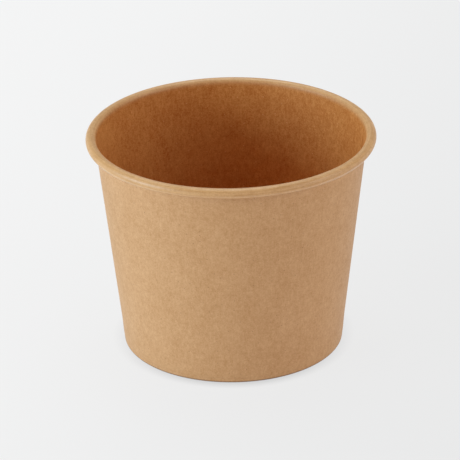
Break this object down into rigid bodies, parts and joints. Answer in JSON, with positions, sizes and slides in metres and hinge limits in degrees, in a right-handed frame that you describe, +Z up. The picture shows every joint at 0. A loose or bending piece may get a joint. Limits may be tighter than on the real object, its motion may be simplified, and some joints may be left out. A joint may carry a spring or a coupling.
{
  "type": "paper soup bowl",
  "caption": "Tapered paper board soup bowl with a rolled rim, a lapped side seam and a recessed base held in a turned-in foot, standing upright.",
  "frame": {"origin": "on the bowl's axis at the plane that the foot stands on", "axes": "+Z up along the bowl's axis, -Y towards the picture's viewer, +X to the viewer's right"},
  "size_m": [0.098, 0.098, 0.076],
  "materials": {
    "kraft_wall": "uncoated brown kraft outside, thin clear plastic coat inside",
    "kraft_base": "brown kraft with a thin clear plastic coat on the upper side"
  },
  "bodies": {
    "root": {"side_wall": "kraft_wall", "base_disc": "kraft_base"}
  },
  "joints": []
}
